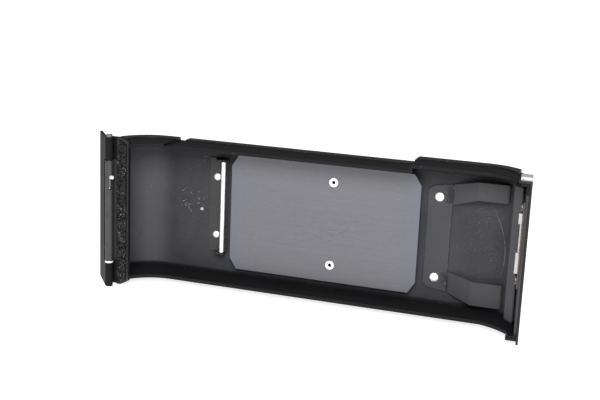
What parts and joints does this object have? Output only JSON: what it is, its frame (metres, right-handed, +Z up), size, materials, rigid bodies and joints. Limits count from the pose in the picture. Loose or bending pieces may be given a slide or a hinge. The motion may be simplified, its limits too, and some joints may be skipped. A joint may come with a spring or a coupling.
{
  "type": "camera film back",
  "caption": "Hinged film back of a 35 mm reflex camera, standing open on its hinge bracket, with sprung pressure plate, film roller, cassette spring and latch catch.",
  "frame": {"origin": "middle of the hinge bracket's flat seat, where it is fastened to the camera body", "axes": "+X along the open door from its hinge to its latch end, -Y out of the inside of the door, +Z up along the hinge pin"},
  "size_m": [0.1434, 0.0253, 0.0514],
  "materials": {
    "gloss_black": "semi-gloss black paint on the outer casing",
    "matt_black": "matt black anti-reflection paint",
    "leatherette": "black pebbled leatherette",
    "plate_grey": "smooth dark grey hard coating, satin",
    "dark_spring": "blackened spring steel, satin",
    "blackened_steel": "blackened steel sheet",
    "bright_steel": "bright polished steel",
    "foam": "open-cell black foam"
  },
  "bodies": {
    "camera_side": {"hinge_bracket": "blackened_steel", "bracket_screw_upper": "blackened_steel", "bracket_screw_lower": "blackened_steel", "hinge_cap": "bright_steel"},
    "door": {"outer_casing": "gloss_black", "light_trap_frame": "matt_black", "leatherette_panel": "leatherette", "memo_holder": "gloss_black", "hinge_leaf": "blackened_steel", "leaf_rivet_1": "blackened_steel", "leaf_rivet_2": "blackened_steel", "leaf_rivet_3": "blackened_steel", "hinge_seal": "foam", "pin_spring": "bright_steel", "lower_pin": "bright_steel", "hinge_washer": "bright_steel", "latch_catch": "bright_steel", "latch_screw_upper": "bright_steel", "latch_screw_lower": "bright_steel", "roller_bracket": "blackened_steel", "roller_rivet_upper": "bright_steel", "roller_rivet_lower": "bright_steel", "plate_spring": "dark_spring", "plate_spring_rivet_upper": "bright_steel", "plate_spring_rivet_lower": "bright_steel", "cassette_spring_web": "dark_spring", "cassette_rivet_upper": "bright_steel", "cassette_rivet_lower": "bright_steel"},
    "roller": {"film_roller": "bright_steel"},
    "plate": {"pressure_plate": "plate_grey", "plate_stud_upper": "bright_steel", "plate_stud_lower": "bright_steel"},
    "upper_finger": {"cassette_finger_upper": "dark_spring"},
    "lower_finger": {"cassette_finger_lower": "dark_spring"},
    "release_pin": {"hinge_pin": "bright_steel", "release_stud": "bright_steel"}
  },
  "joints": [
    {"name": "door_swing", "type": "hinge", "parent": "camera_side", "child": "door", "pos_m": [0.00581, -0.00564, 0], "axis": [0, 0, 1], "range_deg": [-143, 15]},
    {"name": "roller_spin", "type": "hinge", "parent": "door", "child": "roller", "pos_m": [0.03866, 0.01206, 0.0017], "axis": [0, 0, 1], "continuous": true},
    {"name": "plate_float", "type": "slide", "parent": "door", "child": "plate", "axis": [0, 1, 0], "range_m": [0, 0.0013], "stiffness_N_per_m": 1500},
    {"name": "upper_finger_flex", "type": "hinge", "parent": "door", "child": "upper_finger", "pos_m": [0.11501, 0.01451, 0.016], "axis": [0, 0, 1], "range_deg": [0, 2.2], "stiffness_Nm_per_rad": 0.2},
    {"name": "lower_finger_flex", "type": "hinge", "parent": "door", "child": "lower_finger", "pos_m": [0.11501, 0.01451, -0.0155], "axis": [0, 0, 1], "range_deg": [0, 2.2], "stiffness_Nm_per_rad": 0.2},
    {"name": "pin_release", "type": "slide", "parent": "door", "child": "release_pin", "axis": [0, 0, -1], "range_m": [0, 0.0035], "stiffness_N_per_m": 150, "deforming": ["pin_spring"]}
  ]
}
